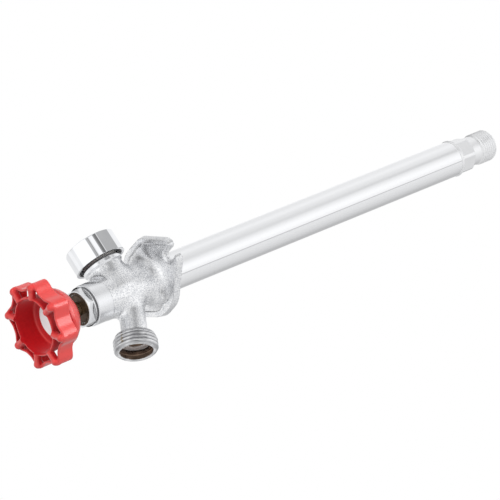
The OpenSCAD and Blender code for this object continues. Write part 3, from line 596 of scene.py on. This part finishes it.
satin_chrome = finish(
    "satin_chrome", grain, {"Fine": 1400.0, "Broad": 420.0, "Waves": 0.03},
    dark=(0.67, 0.68, 0.705), light=(1.0, 1.0, 1.0), rough=(0.34, 0.20), bump=0.055, fixed=metal,
)
# The sand's fine grain shows strongly, so its colours change over a narrow band.
speckle = satin_chrome.node_tree.nodes["Color Ramp"].color_ramp.elements
speckle[0].position, speckle[1].position = 0.44, 0.52
grown(
    "casting_skin", casting, (-37.6, -43.2, -31.6), (37.6, 0.6, 25.0), 0.46,
    satin_chrome, "valve", "cast_chrome", "body",
)

# The barrel's front and the breaker's ring are turned on the same casting.
turned_chrome = finish(
    "turned_chrome", lathe, {"Lines": 1500.0},
    dark=(0.88, 0.885, 0.90), light=(0.95, 0.955, 0.965), rough=(0.22, 0.3), bump=0.012, fixed=metal,
)
turned(
    "barrel_front", TUBE,
    [[9.95, barrel_join, 0], [9.95, barrel_end, 0.2], [13.0, barrel_end, 0.7],
     [13.0, barrel_join, 0.15], [9.95, barrel_join, 0]],
    192, turned_chrome, "valve", "cast_chrome",
)
ring_chrome = finish(
    "ring_chrome", lathe, about(BREAKER, Lines=1500.0),
    dark=(0.88, 0.885, 0.90), light=(0.95, 0.955, 0.965), rough=(0.16, 0.24), bump=0.01, fixed=metal,
)
turned(
    "neck_ring", BREAKER,
    [[air_r, 20.4, 0], [air_r, stub_end - 1, 0.2], [stub_r, stub_end - 1, 0.2],
     [12.9, stub_end, 0.3], [12.9, 20.4, 0.5], [air_r, 20.4, 0]],
    192, ring_chrome, "valve", "cast_chrome",
)

# Hose outlet.
# The outlet's end is machined, with a garden-hose thread and a bright rim. Inside it
# the counterbore and the waterway are bare brass darkened by the plating bath, and
# the hose washer's seat between them is dull plating.

# Painted shade: the tone falls to the dark colour in the thread's roots, between the crests.
thread_chrome = finish(
    "thread_chrome", lathe, about(OUTLET, Lines=2200.0, Root=0.0124, Crest=0.0129),
    dark=(0.52, 0.52, 0.53), light=(0.98, 0.98, 0.985), rough=(0.08, 0.05), bump=0.002, fixed=metal,
)
hose_r, hose_h, hose_rows = along_line(
    [[5.7, 32.9, 0], [8.0, 32.9, 0.2], [8.2, 33.2, 0.1], [11.6, 33.3, 0.3], [14, 33.9, 0],
     [14, 43.6, 0], [12.3, 43.7, 0.2], [10.4, 43.7, 0.3], [10.05, 43.3, 0.1], [10.05, 36.9, 0],
     [5.7, 36.9, 0], [5.7, 32.9, 0]], gap=0.1,
)


def hose_shape(s, a):
    """The turned line, its outside lowered to the helical hose thread."""
    r, h = hose_r(s), hose_h(s)
    ridge = thread(
        a, h, top=41.8, pitch=2.209, start=33.9, end=43.7, crest=0.3, radii=(12.2, 13.47)
    )
    ridge = np.minimum(ridge, 13.47 - 1.4 * np.maximum(h - 42.3, 0))
    on_thread = (r > 11.7) & (h > 33.4)
    return spun(OUTLET, a, np.where(on_thread, np.minimum(r, ridge), r), h)


surface("hose_thread", hose_shape, hose_rows, around(216), thread_chrome, "valve", "cast_chrome")
raw_brass = finish(
    "raw_brass", lathe, about(OUTLET, Lines=1400.0),
    dark=(0.09, 0.06, 0.045), light=(0.26, 0.18, 0.13), rough=(0.25, 0.4), bump=0.02, fixed=metal,
)
turned(
    "outlet_bore", OUTLET,
    [[10.0, 42.9, 0], [10.06, 42.9, 0], [10.06, 37.0, 0], [10.0, 37.0, 0], [10.0, 42.9, 0]],
    128, raw_brass, "valve", "cast_chrome",
)
seat_plating = finish(
    "seat_plating", lathe, about(OUTLET, Lines=1400.0),
    dark=(0.80, 0.73, 0.71), light=(0.92, 0.87, 0.85), rough=(0.5, 0.6), bump=0.01,
    fixed={"Metallic": 0.5},
)
turned(
    "outlet_seat", OUTLET,
    [[5.68, 36.8, 0], [9.98, 36.8, 0], [9.98, 36.95, 0.05], [5.68, 36.95, 0.05], [5.68, 36.8, 0]],
    128, seat_plating, "valve", "cast_chrome",
)
turned(
    "outlet_throat", OUTLET,
    [[5.5, 36.4, 0], [5.65, 36.5, 0], [5.65, 8, 0], [5.5, 8, 0], [5.5, 36.4, 0]],
    128, raw_brass, "valve", "cast_chrome",
)

# Bonnet.
# The bonnet is a chromed brass hexagon, screwed into the barrel against a dark
# gasket. Its faced front and the gland nut in it are near-black brass: painted shade in
# the recess and a painted dark reflection on the face.

bonnet_chrome = finish(
    "bonnet_chrome", lathe, {"Lines": 1500.0},
    dark=(0.90, 0.905, 0.92), light=(0.97, 0.975, 0.985), rough=(0.28, 0.34), bump=0.008, fixed=metal,
)
bonnet_r, bonnet_h, bonnet_rows = along_line(
    [[6.0, -33, 0], [6.0, -59.2, 0], [10.9, -59.5, 0], [13, -57.6, 0], [13, -55.7, 0],
     [11.75, -55.65, 0.2], [11.75, -54.5, 0.2], [9.9, -54.5, 0.1], [9.9, -42.2, 0.3],
     [8.0, -42, 0.2], [8.0, -33, 0.3], [6.0, -33, 0]], gap=0.25,
)


def bonnet_shape(s, a):
    """The turned line, its front part cut by a hexagon of 21.8 mm across flats."""
    r, h = bonnet_r(s), bonnet_h(s)
    nut = np.minimum(hexagon(a, flat=10.9, corner=0.4, turn=math.radians(44)), 12.48)
    return spun(TUBE, a, np.where((r > 9.95) & (h < -55.68), np.minimum(r, nut), r), h)


surface(
    "bonnet_skin", bonnet_shape, bonnet_rows, around(240), bonnet_chrome,
    "valve", "bright_chrome", "bonnet",
)
# Near-black brass: painted shade in the gland nut's recess and a painted dark reflection on the face.
painted_shade_brass = finish(
    "painted_shade_brass", lathe, {"Lines": 1300.0},
    dark=(0.03, 0.02, 0.014), light=(0.10, 0.068, 0.048), rough=(0.2, 0.3), bump=0.012, fixed=metal,
)
turned(
    "bonnet_face", TUBE,
    [[8.86, -59.25, 0], [8.86, -59.52, 0.05], [10.45, -59.52, 0.3], [10.6, -59.25, 0], [8.86, -59.25, 0]],
    128, painted_shade_brass, "valve", "bright_chrome",
)
gasket_rubber = finish(
    "gasket_rubber", grain, {"Fine": 2000.0},
    dark=(0.13, 0.13, 0.135), light=(0.20, 0.20, 0.205), rough=(0.4, 0.5), bump=0.02,
    fixed={"Specular IOR Level": 0.5},
)
turned(
    "gasket_ring", TUBE,
    [[10.0, -53.5, 0], [10.0, -54.5, 0], [11.6, -54.5, 0.25], [11.6, -53.5, 0.25], [10.0, -53.5, 0]],
    128, gasket_rubber, "valve", "rubber", "bonnet_gasket",
)
turned(
    "gland_nut", TUBE,
    [[4.08, -50.9, 0], [4.08, -59.8, 0.5], [8.8, -59.8, 0.5], [8.8, -53.9, 0.1],
     [6.8, -53.9, 0.1], [6.8, -52.4, 0.1], [4.08, -52.4, 0]],
    128, painted_shade_brass, "valve", "brass", "packing_nut",
)

# Stem.
# The stem is a drawn brass rod with a square end for the handle and a coarse thread.
# Its far end swivels in the holder of the rubber washer that shuts the seat, and in
# the bonnet a packing ring and an O-ring with a brass washer seal it.

stem_brass = finish(
    "stem_brass", lathe, {"Lines": 1800.0},
    dark=(0.60, 0.47, 0.30), light=(0.80, 0.66, 0.45), rough=(0.2, 0.32), bump=0.008, fixed=metal,
)
packing_felt = finish(
    "packing_felt", grain, {"Fine": 1500.0},
    dark=(0.10, 0.095, 0.09), light=(0.22, 0.21, 0.2), rough=(0.7, 0.9), bump=0.05, fixed={},
)
bright_steel = finish(
    "bright_steel", lathe, {"Lines": 1600.0},
    dark=(0.52, 0.52, 0.53), light=(0.66, 0.66, 0.67), rough=(0.25, 0.35), bump=0.006, fixed=metal,
)


def dress(material, *nodes):
    """Gives a material to nodes that keep their solids' shapes."""
    for node in nodes:
        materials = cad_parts[node].data.materials
        materials.clear()
        materials.append(material)


dress(stem_brass, "stem_rod", "packing_washer", "seat_holder", "washer_screw")
dress(gasket_rubber, "stem_oring", "seat_washer")
dress(packing_felt, "packing_ring")
dress(bright_steel, "holder_clip")

# Handle.
# The handle is a cast wheel with eight lobes, a deep cup and a domed back, dipped in
# glossy red enamel that rounds every edge. A screw with a lock washer holds it on the
# rod, under a spun metal disc.

# The section of the hub, cup and dome as [radius, station].
wheel_line = np.array(
    [[11.1, -80.2], [14.7, -80.2], [15.5, -81.1], [16.7, -92.1], [17.1, -93.1], [17.9, -93.1],
     [18.2, -92.3], [17.1, -81.2], [17.5, -79.8], [18.3, -77.8], [18.3, -75.5], [17.3, -73.0],
     [15.3, -70.5], [12.3, -68.1], [9.6, -66.1], [8.2, -66.1], [9.7, -69.3], [13.3, -72.1],
     [16.3, -74.4], [6.6, -74.4], [6.6, -64.5], [2.0, -64.5], [2.0, -76.4], [4.8, -76.4],
     [4.8, -79.4], [11.1, -79.4]]
)
wheel_turn = math.radians(1.6)
valley_r, lobe_height, wall_half, wall_edge = 23.1, 3.85, 0.75, 0.5
wall_y, wall_reach = -86.9, 5.4
rib_y, rib_r, rib_start, rib_end = -92.3, 1.9, 17.2, 24.8
knob_y, knob_out, knob_r = -91.9, 24.55, 2.4
square_half, square_end = 2.85, -76.2


def wheel(x, y, z):
    """Distance to the handle.

    The turned hub, cup and dome join a scalloped wall, ribs and knobs, which repeat
    every eighth of a turn, and the square hole for the rod is cut out. With swing
    from 0 in a valley to 1 on a lobe, the wall's radius is the valley's plus the
    lobe's height times swing to the power 1.5.
    """
    r = np.hypot(x, z)
    a = np.arctan2(z, x) + wheel_turn
    a = (a + math.pi / 8) % (math.pi / 4) - math.pi / 8
    hub = outline_distance(r, y, wheel_line) - 0.15
    swing = (1 + np.cos(8 * a)) / 2
    wall = valley_r + lobe_height * swing**1.5
    lean = -lobe_height * 1.5 * np.sqrt(swing) * 4 * np.sin(8 * a)
    across = np.abs(r - wall + wall_half) / np.sqrt(1 + (lean / np.maximum(r, 5)) ** 2)
    across += wall_edge - wall_half
    deep = np.abs(y - wall_y) - wall_reach + wall_edge
    beyond = np.hypot(np.maximum(across, 0), np.maximum(deep, 0))
    band = np.minimum(np.maximum(across, deep), 0) + beyond - wall_edge
    u, v = r * np.cos(a), r * np.sin(a)
    rib = np.hypot(v, np.maximum(np.abs(y - rib_y) - 0.5, 0)) - rib_r
    rib = np.maximum(rib, np.maximum(u - rib_end, rib_start - u))
    tall = np.maximum(np.abs(y - knob_y) - 0.8, 0)
    knob = np.sqrt((u - knob_out) ** 2 + v**2 + tall**2) - knob_r
    solid = blend(blend(band, blend(rib, knob, 0.9), 1.1), hub, 0.8)
    square = np.maximum(np.maximum(np.abs(x), np.abs(z)) - square_half, square_end - y)
    return np.maximum(solid, -square)


# Painted light and shade: the enamel is a lighter red where a point faces the open air, and
# a deep red with a weaker coat in the cup and between the walls. The attribute open is 1
# where a point faces the open air.
red_enamel = finish(
    "red_enamel", grain, {"Fine": 500.0, "Broad": 90.0},
    dark=(0.50, 0.005, 0.010), light=(0.60, 0.009, 0.013), rough=(0.45, 0.55), bump=0.02,
    fixed={"Coat Roughness": 0.27, "Coat IOR": 1.62, "Specular IOR Level": 0.1},
)
tree = red_enamel.node_tree
painted_light_node = tree.nodes.new("ShaderNodeAttribute")
painted_light_node.attribute_name = "open"
# Painted light: the colour goes to a lighter red where a point faces the open air.
tinted(red_enamel, painted_light_node.outputs["Fac"], (0.74, 0.045, 0.040))
coat = remap(tree, painted_light_node.outputs["Fac"], 0.0, 1.0, 0.08, 1.0)
tree.links.new(coat, tree.nodes["Principled BSDF"].inputs["Coat Weight"])
wheel_piece = grown(
    "handle_skin", wheel, (-27.4, -95.8, -27.4), (27.4, -64.0, 27.4), 0.42,
    red_enamel, "stem", "red_paint", "handle",
)
wheel_piece.visible_glossy = False
wheel_mesh = wheel_piece.data
spots, normals = (np.zeros(3 * len(wheel_mesh.vertices)) for _ in range(2))
wheel_mesh.vertices.foreach_get("co", spots)
wheel_mesh.vertices.foreach_get("normal", normals)
spots, normals = spots.reshape(-1, 3) * 1000, normals.reshape(-1, 3)
# How open a point is: the clear distance some way out along its normal, over that way.
clear = [wheel(*(spots + normals * way).T) / way for way in (2.0, 4.0, 7.0)]
painted_light_share = np.min(clear, axis=0).clip(0, 1)
# In the cup a painted highlight runs along the crease between the floor and the wall.
spot_r, spot_y = np.hypot(spots[:, 0], spots[:, 2]), spots[:, 1]
crease = np.exp(-((spot_r - 15.3) ** 2 + (spot_y + 80.7) ** 2) / 0.6)
in_cup = (spot_r < 17.3) & (spot_y < -79.5)
painted_light_share = np.where(in_cup, 0.7 * crease, painted_light_share**1.5)
wheel_mesh.attributes.new("open", "FLOAT", "POINT").data.foreach_set("value", painted_light_share)
spun_disc = finish(
    "spun_disc", lathe, {"Lines": 2400.0},
    dark=(0.86, 0.865, 0.875), light=(0.95, 0.955, 0.96), rough=(0.3, 0.4), bump=0.01,
    fixed={"Metallic": 0.35},
)
turned(
    "disc_skin", TUBE,
    [[0, -79.4, 0], [0, -80.05, 0], [9.9, -80.0, 1.0], [10.4, -80.2, 0.3], [11.0, -80.2, 0.25],
     [11.0, -79.4, 0.1], [0, -79.4, 0]],
    128, spun_disc, "stem", "disc", "name_disc",
)
dress(bright_steel, "handle_screw", "lock_washer")

# Vacuum breaker.
# Over the neck sits a polished, chromed hexagonal hood. Air enters under its skirt,
# past the plastic retainer that is screwed into the neck on a gasket, and water lifts
# the plastic float until its rubber seal shuts the way out.

cap_chrome = finish(
    "cap_chrome", lathe, about(BREAKER, Lines=500.0, Root=0.0148, Crest=0.0149),
    dark=(0.91, 0.915, 0.93), light=(0.95, 0.955, 0.965), rough=(0.03, 0.05), bump=0.0006, fixed=metal,
)
# Inside the skirt, at radius 14.8 mm, the plating stayed thin and dull.
tree = cap_chrome.node_tree
dull = tree.nodes["Color Ramp"].color_ramp.elements.new(0.12)
dull.color = (0.80, 0.80, 0.81, 1)
tone = next(n for n in tree.nodes if n.type == "GROUP").outputs["Tone"]
dull_to_bright = remap(tree, tone, 0.12, 0.2, 0.6, 0.04)
tree.links.new(dull_to_bright, tree.nodes["Principled BSDF"].inputs["Roughness"])
cap_r, cap_h, cap_rows = along_line(
    [[7.7, 33.9, 0], [9.7, 33.9, 0.3], [13.2, 33.9, 0.6], [14.8, 32.3, 0.6], [14.8, 21.6, 0.2],
     [16.5, 21.6, 0.4], [17.0, 22.0, 0.4], [17.7, 23.6, 1.0], [17.9, 34.0, 0.7],
     [16.3, 35.4, 1.0], [13.7, 36.5, 3], [8.7, 37.3, 3], [0.0, 37.5, 0]], gap=0.22,
)


def cap_shape(s, a):
    """The turned line, its outside cut by a hexagon of 31.4 mm across flats.

    Each corner of the hexagon is three flat strips, the middle one at 30 degrees
    from the flats' middles and the others at 14. A strip's radius is its distance
    over the cosine of the angle from its middle.
    """
    r, h = cap_r(s), cap_h(s)
    t = off_flat(a, math.radians(5))
    six = 15.72 / np.cos(t)
    for turn, distance in ((14, 16.41), (30, 16.64)):
        six = blend(six, distance / np.cos(t - math.radians(turn)), 0.1)
    return spun(BREAKER, a, np.where((r > 15.0) & (h > 21.65), blend(r, six, 0.12), r), h)


surface(
    "cap_skin", cap_shape, cap_rows, around(300), cap_chrome,
    "valve", "bright_chrome", "vb_cap", closed=False,
)
# The retainer is black plastic coloured light grey: painted light in the shaded gap under the skirt.
plastic = finish(
    "black_plastic", grain, {"Fine": 1200.0},
    dark=(0.30, 0.29, 0.28), light=(0.42, 0.41, 0.4), rough=(0.3, 0.45), bump=0.01,
    fixed={"Specular IOR Level": 0.5},
)
white_plastic = finish(
    "white_plastic", grain, {"Fine": 900.0},
    dark=(0.74, 0.73, 0.70), light=(0.82, 0.81, 0.78), rough=(0.38, 0.5), bump=0.01, fixed={},
)
dress(plastic, "vb_retainer")
dress(gasket_rubber, "vb_gasket", "vb_float_seal")
dress(white_plastic, "vb_float")

# Studio.
# A pale floor well below the part, a product tent's soft white surround with lighter
# and darker patches, three soft lamps, and the photograph's camera.


def either(tree, share, first, second):
    """One shader where the share is 0, and another one where it is 1."""
    node = tree.nodes.new("ShaderNodeMixShader")
    for socket, source in zip(node.inputs, (share, first, second)):
        tree.links.new(source, socket)
    return node.outputs[0]


floor_z, floor_half = -0.62, 6
floor_corners = [
    (x * floor_half, y * floor_half, floor_z) for x, y in ((-1, -1), (1, -1), (1, 1), (-1, 1))
]
floor_mesh = bpy.data.meshes.new("floor")
floor_mesh.from_pydata(floor_corners, [], [(0, 1, 2, 3)])
floor = bpy.data.objects.new("floor", floor_mesh)
bpy.context.scene.collection.objects.link(floor)
paper = bpy.data.materials.new("floor_paper")
paper.use_nodes = True
tree = paper.node_tree
shader = tree.nodes["Principled BSDF"]
shader.inputs["Base Color"].default_value = (0.86, 0.86, 0.86, 1)
shader.inputs["Roughness"].default_value = 0.8
shader.inputs["Emission Color"].default_value = (1, 1, 1, 1)
to_camera = tree.nodes.new("ShaderNodeLightPath").outputs["Is Camera Ray"]
glow = sums(tree, "MULTIPLY", to_camera, 0.45)
tree.links.new(glow, shader.inputs["Emission Strength"])
# The floor can't be seen from below.
from_below = tree.nodes.new("ShaderNodeNewGeometry").outputs["Backfacing"]
nothing = tree.nodes.new("ShaderNodeBsdfTransparent").outputs[0]
seen = either(tree, from_below, shader.outputs[0], nothing)
tree.links.new(seen, tree.nodes["Material Output"].inputs[0])
floor.data.materials.append(paper)
floor.visible_glossy = False

world = bpy.data.worlds.new("tent")
bpy.context.scene.world = world
world.use_nodes = True
tree = world.node_tree
tree.nodes.clear()
direction = tree.nodes.new("ShaderNodeTexCoord").outputs["Generated"]


def toward(azimuth, elevation):
    """The direction at that azimuth from +X and that elevation, both in degrees."""
    az, el = math.radians(azimuth), math.radians(elevation)
    return math.cos(el) * math.cos(az), math.cos(el) * math.sin(az), math.sin(el)


# Each patch of the tent: azimuth, elevation, spread in degrees, and how much lighter
# or darker it is. Its share of that at an angle t from its middle is
# exp((cos t - 1) / spread squared), with the spread in radians.
patches = [
    (-172, 62, 18, -0.62), (132, -24, 24, -0.25), (4, 24, 16, -0.40), (38, -22, 17, 0.26),
    (-66, 8, 19, 0.36), (144, 24, 13, 0.24), (-68, 62, 22, -0.18), (96, 14, 24, 0.20),
    (64, 47, 9, 0.08), (-145, -16, 16, -0.40), (58, -44, 2, -0.30), (-88, -66, 7, -0.80),
    (-43, 14, 3.6, -0.78), (-12, 14, 3.6, 0.60), (21, 14, 3.6, -0.50), (49, 14, 4, -0.50),
    (0, 14, 10, -0.16), (-136, 16, 19, 0.22), (142, -18, 14, -0.12),
]
level = 0.82
for azimuth, elevation, spread, lift in patches:
    facing = sums(tree, "DOT_PRODUCT", direction, toward(azimuth, elevation), vector=True)
    close = sums(tree, "SUBTRACT", facing, 1.0)
    bell = sums(tree, "EXPONENT", sums(tree, "MULTIPLY", close, 1 / math.radians(spread) ** 2))
    level = sums(tree, "ADD", sums(tree, "MULTIPLY", bell, lift), level)
# Gloss rays see the tent, the camera sees white, and all other rays see plain grey.
rays = tree.nodes.new("ShaderNodeLightPath").outputs
tent, plain, white = (tree.nodes.new("ShaderNodeBackground") for _ in range(3))
tree.links.new(sums(tree, "MAXIMUM", level, 0.03), tent.inputs["Strength"])
tent.inputs["Color"].default_value = (0.985, 0.99, 1.0, 1)
plain.inputs["Strength"].default_value = 0.48
plain.inputs["Color"].default_value = (1, 1, 1, 1)
white.inputs["Color"].default_value = (1, 1, 1, 1)
lit = either(tree, rays["Is Glossy Ray"], plain.outputs[0], tent.outputs[0])
shown = either(tree, rays["Is Camera Ray"], lit, white.outputs[0])
tree.links.new(shown, tree.nodes.new("ShaderNodeOutputWorld").inputs[0])


def lamp(name, azimuth, elevation, away, size, watts):
    """A square area lamp in a direction from the part's middle, facing it."""
    backward = np.array(toward(azimuth, elevation))
    data = bpy.data.lights.new(name, "AREA")
    data.size = size
    data.energy = watts
    light = bpy.data.objects.new(name, data)
    side = np.cross([0, 0, 1], backward)
    side /= np.linalg.norm(side)
    basis = np.eye(4)
    basis[:3, 0], basis[:3, 1], basis[:3, 2] = side, np.cross(backward, side), backward
    basis[:3, 3] = backward * away
    light.matrix_world = Matrix(basis.tolist())
    light.visible_glossy = False
    bpy.context.scene.collection.objects.link(light)
    return light


lamp("key_lamp", 15, -4, away=1.6, size=1.0, watts=13)
lamp("side_lamp", -60, 34, away=1.6, size=0.8, watts=11)
# The third lamp shows in nothing but the enamel's gloss.
gloss_lamp = lamp("gloss_lamp", 46, -12, away=1.6, size=1.1, watts=17)
gloss_lamp.visible_diffuse = False
gloss_lamp.visible_glossy = True
enamelled = bpy.data.collections.new("enamelled")
enamelled.objects.link(wheel_piece)
gloss_lamp.light_linking.receiver_collection = enamelled

# The camera stands 14 degrees below the tap; its pose was fitted to the photograph.
camera = bpy.data.objects.new("camera", bpy.data.cameras.new("camera"))
camera.data.lens = 208.2135
camera.data.sensor_width = 36
camera.data.clip_end = 50
pose = np.eye(4)
pose[:3, 0] = (0.42466689, 0.73568047, -0.52766683)
pose[:3, 1] = (0.49612227, 0.29842942, 0.81535426)
pose[:3, 2] = (0.75731151, -0.60804122, -0.23825437)
pose[:3, 3] = (1.361418, -1.018201, -0.434404)
camera.matrix_world = Matrix(pose.tolist())
bpy.context.scene.collection.objects.link(camera)
bpy.context.scene.camera = camera
bpy.context.scene.view_settings.view_transform = "Standard"
